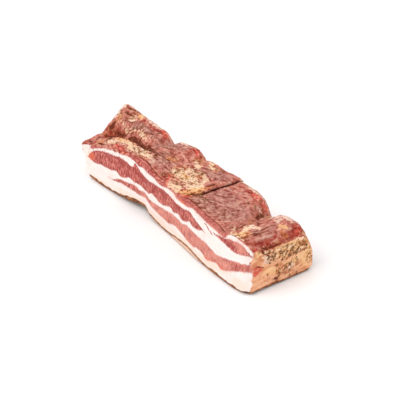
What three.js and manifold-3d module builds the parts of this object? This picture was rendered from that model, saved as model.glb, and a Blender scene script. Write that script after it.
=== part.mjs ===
// Smoked pancetta: one slab of cured, smoked pork belly, freshly cut along one long side.
// Millimetres, +Z up. X runs along the slab from its far, pointed end to its near, crusted end.
// Y runs across it, from the cut face to the crusted back. It stands on its rind, at Z = 0.
// The slab is drawn from the foot of its cut face at the far end, then moved so that the
// origin is below its middle, where it stands.
import * as THREE from 'three';
import { ImprovedNoise } from 'three/addons/math/ImprovedNoise.js';
import { ParametricGeometry } from 'three/addons/geometries/ParametricGeometry.js';
import { mergeVertices } from 'three/addons/utils/BufferGeometryUtils.js';
import Module from 'manifold-3d';

const { clamp, lerp, smoothstep } = THREE.MathUtils;

const SLAB_MIDDLE = [115.8, 32.6]; // the slab's middle, along and across

// Length: the two ends, measured at the foot of the cut face.
const FAR_FOOT = -5.5;
const NEAR_FACE = 259.8;
const NEAR_SLANT = 0.07; // the near end is slanted by this much for each mm across
const CORNER_ROUND = 11; // radius, in plan, of the corner between the cut face and the near end
const FAR_SLANT = 0.1; // the far end is slanted by this much for each mm across
const FAR_OVERHANG = 15; // and its upper rim leans out by this much
const farRim = curve([0, 29], [20, 33], [33, 37.5], [44, 46.5], [60, 57]); // height of that rim, across
const LEAN_TO = 55; // sections lean with the far end up to here

// Outline of the cut face, as [along, size] pairs that a smooth curve joins.
const cutLine = curve([-22, 1], [20, 2], [62, 3.3], [84, 5.4], [98, 3], [127, 1.2], [158, -2],
  [188, -5], [236, -6.4], [253, -5.5]);
const rindLift = curve([-8, 1], [10, 0], [50, 2.5], [84, 6.5], [98, 3], [114, 0.6], [127, 0],
  [238, 0], [256, 1.2]);
const frontTop = curve([-22, 28.7], [-5, 33.5], [13, 40], [33, 46], [60, 51.5], [75, 53], [99, 50.5],
  [110, 48], [126, 49.5], [175, 50.5], [199, 48.5], [220, 47.5], [230, 50], [254, 48.5]);

// Height and width along the back, over the tops of the muscles.
const backTop = curve([-31, 59.5], [-20, 61], [-5, 60], [20, 58], [48, 56.5], [88, 57],
  [125, 57.5], [150, 54.5], [175, 53.3], [196, 51], [215, 50], [254, 50]);
const backWidth = curve([-31, 69], [-10, 70], [25, 70.5], [53, 68.5], [75, 70.5], [105, 69], [128, 71],
  [155, 69.5], [180, 71], [207, 69], [230, 71], [254, 71]);
const CROWN_Y = 60; // the top is highest about here
const roundStart = curve([200, 56], [242, 50]); // the top starts to round over into the back here
const ROUND_FOOT = 9; // and has become upright at this height
const FOOT_ROUND = 7; // radius along the foot of the back
const CUT_EDGE = 1.4; // radius of the cut face's edges
const ARC_MIDDLE = 0.3; // a quarter arc's middle is this part of its radius from the corner
const LIFT_ENDS = 0.35; // the lifted rind is down on the table this far from the back
const EDGE_LIFT = 0.5; // the rind's edges curl up by this much around the strip that it rests on
const REST_ALONG = [-4, 234];
const REST_ROWS = [58, 45, 32, 20, 9]; // across, of the underside's vertices on that strip

// Flap of fat along the cut edge, with a crease behind it.
const flapCrease = curve([-12, 26], [2, 31], [9, 34.5], [18, 35], [29, 33.5], [44, 29.5], [58, 26], [66, 26],
  [76, 24.5]);
const FLAP_FROM = [-14, 4];
const FLAP_TO = [62, 80];
const FLAP_CROWN = 2.4;
const FLAP_WALL = 11; // width of the muscle's flank behind the crease
const CREASE_DEPTH = 4.6;
const CREASE_WIDTH = 2.6;

// Valleys between the muscles: where each runs, as [across, along], the widths of its two
// sides, and its depths at the cut face and at the back.
const VALLEYS = [
  { line: curve([30, 60], [37, 58], [50, 55], [64, 54]), before: 5.5, after: 15, depths: [0, 9.5] },
  { line: curve([5, 132], [28, 124], [44, 116], [64, 105]), before: 6, after: 7, depths: [1.2, 2.5] },
  { line: curve([3, 222], [14, 223], [34, 217], [50, 210], [64, 205]), before: 5, after: 17,
    depths: [1.5, 13] },
];
const VALLEY_DEEPENS = 0.3; // part of the way across where valleys start to deepen
const [, STEP_VALLEY, SEAM_VALLEY] = VALLEYS;
const STEP_DEPTH = 3.5; // past the second valley the back is lower
const STEP_WIDTH = 5;
const STEP_ENDS = [-30, -4]; // up to the lip

// Rounded tops of the muscles: [along, across, half length, half width, height].
const MUSCLE_TOPS = [
  [78, 38, 24, 22, 1.6],
  [128, 34, 16, 20, 1.4],
  [182, 26, 26, 22, 1.5],
  [236, 30, 12, 26, 1.2],
];

// Lip of the spiced fat patch, which hangs over the next muscle. The line is [across, along].
const lipLine = curve([0, 143], [3, 146], [8.5, 154], [15, 159.5], [22, 161.5], [34, 162], [47, 163],
  [60, 162], [67, 160]);
const lipAmount = curve([2, 0], [9, 1], [50, 1], [60, 0.5], [70, 0]);
const LIP_STATION = 143;
const LIP_PITCH = 0.7;
const LIP_RISE = 2.2;
const RISE_FROM = [-28, -3]; // the patch rises to its lip over this stretch
const LIP_RECESS = 1.2;
const RECESS_LENGTH = 12;
const LIP_BACK = 2; // the section starts this far before the line
const FOLLOW_LIP_FROM = 60; // stations start to follow the lip's line here
const FOLLOW_FAR_TO = 70; // and stop following the far end here
// Section through the lip: how far along, how far down from lip to next muscle, and extra dip.
const LIP_SECTION = [
  [-1.2, 0, 0.1], [0.7, 0, 0.9], [1.3, 0, 2.3], [0.4, 0.2, 3.4], [-1.6, 0.5, 3.6],
  [-0.2, 0.9, 3.4], [2, 1, 1.9], [4.2, 1, 0.6],
];

// Far end: a hollow behind its tip, as [along, across, half length, half width, depth].
const FAR_HOLLOW = [-25, 29, 24, 18, 7.7];

// The near end: meat folds over its upper edge, and the corners are rounded.
const FOLD_LENGTH = 11; // the top starts to drop this far from the end's face
const SEAM_TO = 242; // stations stop following the last seam here
const FOLD_DROPS = [3.5, 10]; // at the cut face, and further back
const FOLD_DROPS_AT = [2, 18];
const END_ROUND = 2.4;

// End faces: rings rounded in from the edge, in parts of END_ROUND, then drawn in to the middle.
const ROUND_RINGS = [0.25, 1];
const FACE_RINGS = [0.88, 0.75, 0.62, 0.49, 0.36, 0.22];

// Mesh: stations along the slab, and steps around a section.
const STATION_PITCH = 4.8;
const FRONT_STEPS = 6;
const TOP_STEPS = 18;
const BACK_STEPS = 10;

// Crust relief: a broad swell and finer crags.
const SWELL = { size: 17, height: 0.9 };
const CRAGS = { size: 5.5, height: 0.55 };
const END_CRAGS = 0.8; // crags are this much as high on the near end
const CUT_FACING = [0.5, 0.9]; // how far a surface faces the cut side, to be smooth
const RIND_FACING = [0.3, 0.7]; // how far it faces down
const END_FACING = [0.6, 0.9]; // how far it faces along the slab
const SMOOTH_FOOT = [1, 6]; // crags start between these heights

// Pepper and herb grains that show: how many in each patch, and their size.
const GRAIN_SIZE = [1.0, 1.7];
const GRAIN_FLATNESS = 0.6;
const GRAIN_SEED = 1907;
const OUTSIDE = 400; // well clear of the slab
const TOP_GRAINS = [ // [along, across, half length, half width, count]
  [122, 24, 16, 14, 16],
  [24, 48, 22, 8, 9],
  [70, 22, 16, 10, 7],
  [174, 8, 14, 6, 7],
  [203, 46, 5, 7, 5],
];
const END_GRAINS = [ // [across, up, half width, half height, count]
  [38, 28, 23, 4, 22],
  [34, 13, 25, 9, 12],
];

const crustMaterial = new THREE.MeshStandardMaterial({ color: 0xc98f78, roughness: 0.6, metalness: 0 });

// A smooth curve through [place, value] pairs that does not overshoot them.
function curve(...points) {
  const slopes = points.map((_, i) => {
    if (i === 0 || i === points.length - 1) return 0;
    const before = (points[i][1] - points[i - 1][1]) / (points[i][0] - points[i - 1][0]);
    const after = (points[i + 1][1] - points[i][1]) / (points[i + 1][0] - points[i][0]);
    return before * after > 0 ? (2 * before * after) / (before + after) : 0;
  });
  return (place) => {
    const last = points.length - 1;
    if (place <= points[0][0]) return points[0][1];
    if (place >= points[last][0]) return points[last][1];
    const i = points.findIndex((point) => point[0] > place) - 1;
    const span = points[i + 1][0] - points[i][0];
    const t = (place - points[i][0]) / span;
    return points[i][1] * (1 + 2 * t) * (1 - t) ** 2 + points[i + 1][1] * t * t * (3 - 2 * t)
      + span * (slopes[i] * t * (1 - t) ** 2 - slopes[i + 1] * t * t * (1 - t));
  };
}

function bump(distance) {
  return Math.exp(-distance * distance);
}

// Where the cut face is across. It rounds over into the near end.
function cutFace(x) {
  const past = clamp(x - (NEAR_FACE - CORNER_ROUND), 0, CORNER_ROUND);
  return cutLine(x) + CORNER_ROUND - Math.sqrt(CORNER_ROUND ** 2 - past ** 2);
}

// Height of the top before the lip: cut edge and back joined, with flap, valleys and muscles.
function topHeight(x, y) {
  const front = cutFace(x);
  const across = clamp((y - front) / (CROWN_Y - front), 0, 1);
  let z = lerp(frontTop(x), backTop(x), across);

  const flap = smoothstep(x, ...FLAP_FROM) * (1 - smoothstep(x, ...FLAP_TO));
  const crease = flapCrease(x);
  const over = clamp((y - front) / (crease - front), 0, 1);
  const behind = smoothstep(y - crease, 0, FLAP_WALL);
  const flapTop = frontTop(x) + FLAP_CROWN * Math.sin(Math.PI * over);
  z = lerp(z, lerp(flapTop, z, behind), flap);
  z -= CREASE_DEPTH * flap * bump((y - crease) / CREASE_WIDTH);

  for (const { line, before, after, depths } of VALLEYS) {
    const past = x - line(y);
    z -= lerp(...depths, smoothstep(across, VALLEY_DEEPENS, 1)) * bump(past / (past < 0 ? before : after));
  }
  const stepped = smoothstep(x - STEP_VALLEY.line(y), -STEP_WIDTH, STEP_WIDTH)
    * (1 - smoothstep(x - lipLine(y), ...STEP_ENDS));
  z -= STEP_DEPTH * smoothstep(across, VALLEY_DEEPENS, 1) * stepped;
  for (const [along, acrossTop, length, width, height] of MUSCLE_TOPS) {
    z += height * bump((x - along) / length) * bump((y - acrossTop) / width);
  }
  const [along, acrossTop, length, width, depth] = FAR_HOLLOW;
  z -= depth * bump((x - along) / length) * bump((y - acrossTop) / width);
  const beforeEnd = nearFace(y) - x;
  const fold = clamp(1 - beforeEnd / FOLD_LENGTH, 0, 1) ** 2;
  z -= fold * lerp(...FOLD_DROPS, smoothstep(y, ...FOLD_DROPS_AT));
  return z;
}

// How far a station leans along the slab at this place across: stations follow the seams.
function stationShift(station, y) {
  const farShift = -FAR_SLANT * y;
  const lipShift = lipLine(y) - LIP_STATION;
  const seamStation = SEAM_VALLEY.line(0);
  const seamShift = SEAM_VALLEY.line(y) - seamStation;
  if (station < LIP_STATION) {
    return farShift * (1 - smoothstep(station, FAR_FOOT, FOLLOW_FAR_TO))
      + lipShift * smoothstep(station, FOLLOW_LIP_FROM, LIP_STATION);
  }
  if (station < seamStation) {
    return lerp(lipShift, seamShift, smoothstep(station, LIP_STATION, seamStation));
  }
  return seamShift * (1 - smoothstep(station, seamStation, SEAM_TO))
    - NEAR_SLANT * y * smoothstep(station, SEAM_TO, NEAR_FACE - END_ROUND);
}

// The face of the far end.
function farFace(y, z) {
  return FAR_FOOT - FAR_SLANT * y - FAR_OVERHANG * Math.min(z / farRim(y), 1);
}

// Where the near end's face starts to round over into the sides.
function nearFace(y) {
  return NEAR_FACE - END_ROUND - NEAR_SLANT * y;
}

// How far a station leans with the overhang of the far end.
function farLean(station, y, z) {
  const fade = 1 - smoothstep(station, FAR_FOOT, LEAN_TO);
  return -FAR_OVERHANG * Math.min(z / farRim(y), 1) * fade;
}

// Stations along the slab: even, but close together through the lip.
function makeStations() {
  const stations = [];
  const beforeLip = LIP_STATION - LIP_BACK;
  const afterLip = LIP_STATION + LIP_PITCH * LIP_SECTION.length;
  const addEven = (from, to) => {
    const steps = Math.round((to - from) / STATION_PITCH);
    for (let i = 0; i <= steps; i++) {
      const at = lerp(from, to, i / steps);
      stations.push({ at, along: at - LIP_STATION, down: at < LIP_STATION ? 0 : 1, dip: 0 });
    }
  };
  addEven(FAR_FOOT, beforeLip);
  LIP_SECTION.forEach(([along, down, dip], i) => {
    stations.push({ at: LIP_STATION + i * LIP_PITCH, along, down, dip });
  });
  addEven(afterLip, NEAR_FACE - END_ROUND);
  return stations;
}

// Point of the top or the rounded back. z is taken at the station, so the lip can hang over.
function topPoint(station, y, roundness) {
  const x = station.at + stationShift(station.at, y);
  const amount = lipAmount(y);
  const fromLip = x - lipLine(y);
  let z = topHeight(x, y);
  const rise = LIP_RISE * (station.at < LIP_STATION ? smoothstep(fromLip, ...RISE_FROM) : 1);
  const recess = LIP_RECESS * Math.exp(-Math.max(fromLip, 0) / RECESS_LENGTH);
  z += amount * (rise * (1 - station.down) - recess * station.down - station.dip);
  z = lerp(ROUND_FOOT, z, roundness);
  const pushed = amount * (station.along - (station.at - LIP_STATION));
  return new THREE.Vector3(x + pushed + farLean(station.at, y, z), y, z);
}

// One section of the slab, from the foot of the cut face over the top and down the back.
function makeSection(station) {
  const section = [];
  const leanAt = (z, y = 0) => station.at + farLean(station.at, y, z);
  const front = (z) => cutFace(leanAt(z));
  const foot = rindLift(station.at);
  const edge = topPoint(station, front(frontTop(station.at)), 1).z;
  for (let i = 0; i <= FRONT_STEPS; i++) {
    const z = lerp(foot + CUT_EDGE, edge - CUT_EDGE, i / FRONT_STEPS);
    section.push(new THREE.Vector3(leanAt(z), front(z), z));
  }
  const topStart = front(edge) + CUT_EDGE;
  const rounded = topPoint(station, front(edge) + CUT_EDGE * ARC_MIDDLE, 1);
  section.push(rounded.setZ(rounded.z - CUT_EDGE * ARC_MIDDLE));
  for (let i = 0; i <= TOP_STEPS; i++) {
    section.push(topPoint(station, lerp(topStart, roundStart(station.at), i / TOP_STEPS), 1));
  }
  const width = backWidth(station.at + stationShift(station.at, CROWN_Y));
  for (let i = 1; i <= BACK_STEPS; i++) {
    const angle = (Math.PI / 2) * (i / BACK_STEPS);
    const y = lerp(roundStart(station.at), width, Math.sin(angle));
    section.push(topPoint(station, y, Math.cos(angle)));
  }
  const floorPoint = (y, lift) => {
    const across = (y - front(foot)) / (width - front(foot));
    const z = lift + foot * smoothstep(1 - across, LIFT_ENDS, 1);
    const x = leanAt(z, y) + stationShift(station.at, width) * across;
    section.push(new THREE.Vector3(x, y, z));
  };
  const rests = station.at > REST_ALONG[0] && station.at < REST_ALONG[1];
  floorPoint(width - FOOT_ROUND * ARC_MIDDLE, FOOT_ROUND * ARC_MIDDLE);
  floorPoint(width - FOOT_ROUND, EDGE_LIFT);
  for (const y of REST_ROWS) floorPoint(y, rests ? 0 : EDGE_LIFT);
  floorPoint(front(foot) + CUT_EDGE, EDGE_LIFT);
  return section;
}

// Rings that close an end: rounded in from the last section, then flat, in to the middle.
// faceX gives the end face, and outward its side, 1 or -1.
function endRings(section, faceX, outward) {
  const box = new THREE.Box3().setFromPoints(section);
  const middle = box.getCenter(new THREE.Vector3());
  const half = box.getSize(new THREE.Vector3()).multiplyScalar(0.5);
  const ring = (inset, scale) => {
    const push = Math.sqrt(END_ROUND ** 2 - (END_ROUND - inset) ** 2);
    return section.map((point) => {
      const y = middle.y + (point.y - middle.y) * (1 - inset / half.y) * scale;
      const z = middle.z + (point.z - middle.z) * (1 - inset / half.z) * scale;
      return new THREE.Vector3(faceX(y, z) + outward * push, y, z);
    });
  };
  return [
    ...ROUND_RINGS.map((part) => ring(part * END_ROUND, 1)),
    ...FACE_RINGS.map((scale) => ring(END_ROUND, scale)),
    ring(END_ROUND, 0),
  ];
}

// All sections, from the middle of the far face to the middle of the near face.
function makeSections() {
  const body = makeStations().map(makeSection);
  const farRings = endRings(body[0], farFace, -1).reverse();
  const nearRings = endRings(body[body.length - 1], nearFace, 1);
  return [...farRings, ...body, ...nearRings];
}

const noise = new ImprovedNoise();

// Crust relief at a point, in mm along its normal. The cut face and the rind stay smooth.
function relief(point, normal) {
  const onCut = smoothstep(-normal.y, ...CUT_FACING);
  const onRind = smoothstep(-normal.z, ...RIND_FACING);
  const onEnd = smoothstep(normal.x, ...END_FACING);
  const crust = (1 - onCut) * (1 - onRind) * smoothstep(point.z, ...SMOOTH_FOOT);
  const at = ({ size, height }) => height * noise.noise(point.x / size, point.y / size, point.z / size);
  return crust * (at(SWELL) + at(CRAGS) * lerp(1, END_CRAGS, onEnd));
}

function addRelief(geometry) {
  geometry.computeVertexNormals();
  const { position, normal } = geometry.attributes;
  const point = new THREE.Vector3();
  const out = new THREE.Vector3();
  for (let i = 0; i < position.count; i++) {
    point.fromBufferAttribute(position, i);
    out.fromBufferAttribute(normal, i);
    point.addScaledVector(out, relief(point, out));
    position.setXYZ(i, point.x, point.y, point.z);
  }
}

// Merges the vertices of a geometry, and leaves out the flat triangles at its poles.
function closedGeometry(geometry) {
  geometry.deleteAttribute('normal');
  geometry.deleteAttribute('uv');
  const merged = mergeVertices(geometry);
  const index = [];
  const all = merged.index.array;
  for (let i = 0; i < all.length; i += 3) {
    const [a, b, c] = all.slice(i, i + 3);
    if (a !== b && b !== c && c !== a) index.push(a, b, c);
  }
  merged.setIndex(index);
  return merged;
}

function makeSlab() {
  const sections = makeSections();
  const along = sections.length - 1;
  const around = sections[0].length;
  const surface = (u, v, target) => {
    target.copy(sections[along - Math.round(v * along)][Math.round(u * around) % around]);
  };
  const slab = closedGeometry(new ParametricGeometry(surface, around, along));
  addRelief(slab);
  return slab;
}

// A cracked pepper grain or herb flake: a squashed, turned icosahedron.
function makeGrain(place, random) {
  const size = lerp(...GRAIN_SIZE, random());
  const grain = new THREE.IcosahedronGeometry(size, 0);
  grain.scale(1, 1, GRAIN_FLATNESS);
  grain.rotateX(random() * Math.PI).rotateY(random() * Math.PI).rotateZ(random() * Math.PI);
  grain.translate(place.x, place.y, place.z);
  return closedGeometry(grain);
}

// Where a straight line meets the slab, found with a ray from outside.
function onSlab(slabMesh, from, direction) {
  const hits = new THREE.Raycaster(from, direction).intersectObject(slabMesh);
  return hits[0].point;
}

function makeGrains(slab) {
  const mesh = new THREE.Mesh(slab, new THREE.MeshBasicMaterial({ side: THREE.DoubleSide }));
  const down = new THREE.Vector3(0, 0, -1);
  const back = new THREE.Vector3(-1, 0, 0);
  let seed = GRAIN_SEED;
  const random = () => THREE.MathUtils.seededRandom(seed++);
  const spread = (middle, half) => middle + half * (2 * random() - 1);
  const grains = [];
  for (const [along, across, length, width, count] of TOP_GRAINS) {
    for (let i = 0; i < count; i++) {
      const from = new THREE.Vector3(spread(along, length), spread(across, width), OUTSIDE);
      grains.push(makeGrain(onSlab(mesh, from, down), random));
    }
  }
  for (const [across, up, width, height, count] of END_GRAINS) {
    for (let i = 0; i < count; i++) {
      const from = new THREE.Vector3(OUTSIDE, spread(across, width), spread(up, height));
      grains.push(makeGrain(onSlab(mesh, from, back), random));
    }
  }
  return grains;
}

// Joins closed geometries into one solid.
async function joined(geometries) {
  const wasm = await Module();
  wasm.setup();
  const solids = geometries.map((geometry) => new wasm.Manifold(new wasm.Mesh({
    numProp: 3,
    vertProperties: new Float32Array(geometry.attributes.position.array),
    triVerts: new Uint32Array(geometry.index.array),
  })));
  const { vertProperties, triVerts } = solids.reduce((sum, solid) => sum.add(solid)).getMesh();
  const result = new THREE.BufferGeometry();
  result.setAttribute('position', new THREE.BufferAttribute(vertProperties, 3));
  result.setIndex(new THREE.BufferAttribute(triVerts, 1));
  return result;
}

const slab = makeSlab();
const whole = await joined([slab, ...makeGrains(slab)]);
const [alongMiddle, acrossMiddle] = SLAB_MIDDLE;
whole.translate(-alongMiddle, -acrossMiddle, 0);
whole.computeVertexNormals();

const pancetta = new THREE.Mesh(whole, crustMaterial);
pancetta.name = 'pancetta';

const group = new THREE.Group();
group.add(pancetta);
export default group;
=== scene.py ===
"""Smoked pancetta: a slab of cured, smoked pork belly, freshly cut along one long side.

The slab's shape is worked out in millimetres, along X from its far, pointed end, across Y from
its cut face, and up Z from the table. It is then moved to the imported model's frame, in metres.
"""
import math

import bmesh
import bpy
import numpy as np
from mathutils import Euler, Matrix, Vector, noise
from mathutils.bvhtree import BVHTree


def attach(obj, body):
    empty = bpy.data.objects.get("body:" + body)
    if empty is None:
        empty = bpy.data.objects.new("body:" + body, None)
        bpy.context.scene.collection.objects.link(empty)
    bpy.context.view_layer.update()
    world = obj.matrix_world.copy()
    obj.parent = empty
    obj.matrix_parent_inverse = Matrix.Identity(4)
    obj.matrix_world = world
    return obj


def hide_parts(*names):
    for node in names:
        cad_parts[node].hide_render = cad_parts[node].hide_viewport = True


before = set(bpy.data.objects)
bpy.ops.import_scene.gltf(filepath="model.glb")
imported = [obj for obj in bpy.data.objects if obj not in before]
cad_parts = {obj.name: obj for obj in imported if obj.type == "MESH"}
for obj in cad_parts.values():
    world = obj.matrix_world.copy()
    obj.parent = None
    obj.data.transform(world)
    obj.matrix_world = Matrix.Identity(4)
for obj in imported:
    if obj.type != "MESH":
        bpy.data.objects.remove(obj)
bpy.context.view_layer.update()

bl_info = {
    "name": "Smoked Pancetta",
    "version": (1, 0, 0),
    "blender": (4, 5, 0),
    "location": "3D View > Sidebar > Pancetta",
    "description": "Builds a slab of smoked pancetta with its spices, and a small studio for it",
    "category": "Object",
}

MM = 0.001
NODE = "pancetta"
SLAB_MIDDLE = np.array([115.8, 32.6, 0.0])  # the slab's middle, along and across


# ---------------------------------------------------------------- curves and masks

class Curve:
    """A smooth curve through (place, value) pairs that does not overshoot them."""

    def __init__(self, *points):
        self.place, self.value = np.array(points, float).T
        slope = np.diff(self.value) / np.diff(self.place)
        before, after = slope[:-1], slope[1:]
        same = before * after > 0
        middle = np.where(same, 2 * before * after / np.where(same, before + after, 1), 0)
        self.slope = np.concatenate(([0], middle, [0]))

    def __call__(self, place):
        place = np.clip(place, self.place[0], self.place[-1])
        i = np.clip(np.searchsorted(self.place, place, side="right") - 1, 0, len(self.place) - 2)
        span = self.place[i + 1] - self.place[i]
        t = (place - self.place[i]) / span
        ends = self.value[i] * (1 + 2 * t) * (1 - t) ** 2 + self.value[i + 1] * t * t * (3 - 2 * t)
        return ends + span * (self.slope[i] * t * (1 - t) ** 2 - self.slope[i + 1] * t * t * (1 - t))


def smooth(value, low, high):
    """0 below low, 1 above high, and smooth between them."""
    t = np.clip((value - low) / (high - low), 0, 1)
    return t * t * (3 - 2 * t)


def between(value, start, full, fades, end):
    """0 before start and past end, 1 from full to fades, and smooth between them."""
    return smooth(value, start, full) * (1 - smooth(value, fades, end))


def bump(distance):
    return np.exp(-distance * distance)


def lerp(start, end, t):
    return start + (end - start) * t


def cover(patches, u, v):
    """How much elliptical patches cover each point: 1 in a patch's middle and 0.5 at its edge.
    A patch is (middle u, middle v, half length, half width), and its turn in degrees if it has one."""
    most = np.zeros(np.broadcast(u, v).shape)
    for middle_u, middle_v, half_length, half_width, *turn in patches:
        angle = math.radians(sum(turn))
        du, dv = u - middle_u, v - middle_v
        along = (du * math.cos(angle) + dv * math.sin(angle)) / half_length
        across = (dv * math.cos(angle) - du * math.sin(angle)) / half_width
        most = np.maximum(most, 0.5 ** (along * along + across * across))
    return most


def lumps(points, size, seed=0.0):
    """Noise between about -1 and 1, with lumps of this size in mm."""
    return np.array([noise.noise(Vector(point)) for point in points / size + seed])


# ---------------------------------------------------------------- the slab's outline

FAR_FOOT, NEAR_FACE = -5.5, 259.8
NEAR_SLANT = 0.07  # the near end is slanted by this much for each mm across
CORNER_ROUND = 11  # radius, in plan, of the corner between the cut face and the near end
FAR_SLANT = 0.1  # the far end is slanted by this much for each mm across
FAR_OVERHANG = 15  # and its upper rim leans out by this much
FAR_RIM = Curve([0, 29], [20, 33], [33, 37.5], [44, 46.5], [60, 57])
LEAN_TO = 55  # sections past this do not lean

CUT_LINE = Curve([-22, 1], [20, 2], [62, 3.3], [84, 5.4], [98, 3], [127, 1.2], [158, -2],
                 [188, -5], [236, -6.4], [253, -5.5])
RIND_LIFT = Curve([-8, 1], [10, 0], [50, 2.5], [84, 6.5], [98, 3], [114, 0.6], [127, 0],
                  [238, 0], [256, 1.2])
FRONT_TOP = Curve([-22, 28.7], [-5, 33.5], [13, 40], [33, 46], [60, 51.5], [75, 53], [99, 50.5], [110, 48],
                  [126, 49.5], [175, 50.5], [199, 48.5], [220, 47.5], [230, 50], [254, 48.5])
BACK_TOP = Curve([-31, 59.5], [-20, 61], [-5, 60], [20, 58], [48, 56.5], [88, 57], [125, 57.5],
                 [150, 54.5], [175, 53.3], [196, 51], [215, 50], [254, 50])
BACK_WIDTH = Curve([-31, 69], [-10, 70], [25, 70.5], [53, 68.5], [75, 70.5], [105, 69], [128, 71],
                   [155, 69.5], [180, 71], [207, 69], [230, 71], [254, 71])
CROWN_Y = 60  # BACK_TOP is the height this far across
ROUND_START = Curve([200, 56], [242, 50])  # from here across, the top rounds over into the back
ROUND_FOOT = 9  # height of the lower end of that round
FOOT_ROUND = 7  # and how far in the round below it runs
CUT_EDGE, CUT_EDGE_STEPS, HEEL_STEPS = 1.4, 5, 9  # round of the cut face's edges, and vertices round it
LIFT_ENDS = 0.35  # the rind's lift has faded where this part of the width is left
EDGE_LIFT = 0.5  # the rind is off the table by this much around the strip that it rests on
# Stretches of a section, in mm, from which their number of vertices follows. The back and the
# underside, both BACK_RUN long, have these times the pitch.
CUT_RUN, TOP_RUN, BACK_RUN = 46, 56, 62
BACK_PITCH, UNDER_PITCH = 1.3, 2.6
REST_STRIP = [(-8, -4, 234, 238), (2, 9, 58, 63)]  # what it rests on, along and across

FLAP_CREASE = Curve([-12, 26], [2, 31], [9, 34.5], [18, 35], [29, 33.5], [44, 29.5], [58, 26], [66, 26],
                    [76, 24.5])
FLAP_REACH = (-14, 4, 62, 80)  # along: it starts, is full, fades and ends
FLAP_CROWN = 2.4  # how much the flap is rounded up
FLAP_WALL = 11  # width of the slope that rises behind the crease
CREASE_DEPTH, CREASE_WIDTH = 4.6, 2.6

# Valleys between the muscles: the line as (across, along), the widths of its two sides, and the
# depths at the cut face and at the back.
VALLEYS = [
    (Curve([30, 60], [37, 58], [50, 55], [64, 54]), 5.5, 15, (0, 9.5)),
    (Curve([5, 132], [28, 124], [44, 116], [64, 105]), 6, 7, (1.2, 2.5)),
    (Curve([3, 222], [14, 223], [34, 217], [50, 210], [64, 205]), 5, 17, (1.5, 13)),
]
VALLEY_DEEPENS = 0.3  # valleys deepen from this part of the width on
STEP_LINE, SEAM_LINE = VALLEYS[1][0], VALLEYS[2][0]
STEP_DEPTH, STEP_WIDTH, STEP_ENDS = 3.5, 5, (-30, -4)  # the top steps down past STEP_LINE
# Rounded tops and a hollow: (along, across, half length, half width, height or depth).
MUSCLE_TOPS = [(78, 38, 24, 22, 1.6), (128, 34, 16, 20, 1.4), (182, 26, 26, 22, 1.5),
               (236, 30, 12, 26, 1.2)]
FAR_HOLLOW = (-25, 29, 24, 18, 7.7)

# The lip of the spiced patch: its line as (across, along), and how strong it is across.
LIP_LINE = Curve([0, 143], [3, 146], [8.5, 154], [15, 159.5], [22, 161.5], [34, 162], [47, 163],
                 [60, 162], [67, 160])
LIP_AMOUNT = Curve([2, 0], [9, 1], [50, 1], [60, 0.5], [70, 0])
LIP_STATION, LIP_PITCH = 143, 0.7  # where its section starts, and the distance of its steps
LIP_RISE, RISE_FROM = 2.2, (-28, -3)  # the patch rises to its lip
LIP_RECESS, RECESS_LENGTH = 1.2, 12  # and the muscle below it is hollowed
LIP_BACK = 2  # plain sections stop this far before it
FOLLOW_LIP_FROM, FOLLOW_FAR_TO = 60, 70  # which sections follow the lip's line and the far end's slant
# Section through the lip: how far along, how far down, and how far it dips.
LIP_ALONG = Curve(*enumerate([-1.2, 0.7, 1.3, 0.4, -1.6, -0.2, 2, 4.2]))
LIP_DOWN = Curve(*enumerate([0, 0, 0, 0.2, 0.5, 0.9, 1, 1]))
LIP_DIP = Curve(*enumerate([0.1, 0.9, 2.3, 3.4, 3.6, 3.4, 1.9, 0.6]))
LIP_STEPS = 7

FOLD_LENGTH, FOLD_DROPS, FOLD_DROPS_AT = 11, (3.5, 10), (2, 18)  # the fold over the near end
SEAM_TO = 242  # sections stop following the last seam here
END_ROUND, END_INSETS = 2.4, (0.05, 0.18, 0.4, 0.7)  # round of the ends, and its steps


def cut_face(x):
    """Where the cut face is across. It rounds over into the near end."""
    past = np.clip(x - (NEAR_FACE - CORNER_ROUND), 0, CORNER_ROUND)
    return CUT_LINE(x) + CORNER_ROUND - np.sqrt(CORNER_ROUND ** 2 - past ** 2)


def near_face(y, z=0):
    """Where the near end's face starts to round over into the sides."""
    return NEAR_FACE - END_ROUND - NEAR_SLANT * y


def top_height(x, y):
    """Height of the top before the lip: cut edge and back joined, with flap, valleys and muscles."""
    front = cut_face(x)
    across = np.clip((y - front) / (CROWN_Y - front), 0, 1)
    z = lerp(FRONT_TOP(x), BACK_TOP(x), across)
    flap = between(x, *FLAP_REACH)
    crease = FLAP_CREASE(x)
    over = np.clip((y - front) / (crease - front), 0, 1)
    behind = smooth(y - crease, 0, FLAP_WALL)
    flap_top = FRONT_TOP(x) + FLAP_CROWN * np.sin(np.pi * over)
    z = lerp(z, lerp(flap_top, z, behind), flap)
    z = z - CREASE_DEPTH * flap * bump((y - crease) / CREASE_WIDTH)
    deepens = smooth(across, VALLEY_DEEPENS, 1)
    for line, before, after, depths in VALLEYS:
        past = x - line(y)
        z = z - lerp(*depths, deepens) * bump(past / np.where(past < 0, before, after))
    stepped = smooth(x - STEP_LINE(y), -STEP_WIDTH, STEP_WIDTH) * (1 - smooth(x - LIP_LINE(y), *STEP_ENDS))
    z = z - STEP_DEPTH * deepens * stepped
    for along, middle, length, width, height in MUSCLE_TOPS:
        z = z + height * bump((x - along) / length) * bump((y - middle) / width)
    along, middle, length, width, depth = FAR_HOLLOW
    z = z - depth * bump((x - along) / length) * bump((y - middle) / width)
    fold = np.clip(1 - (near_face(y) - x) / FOLD_LENGTH, 0, 1) ** 2
    return z - fold * lerp(*FOLD_DROPS, smooth(y, *FOLD_DROPS_AT))


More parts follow.
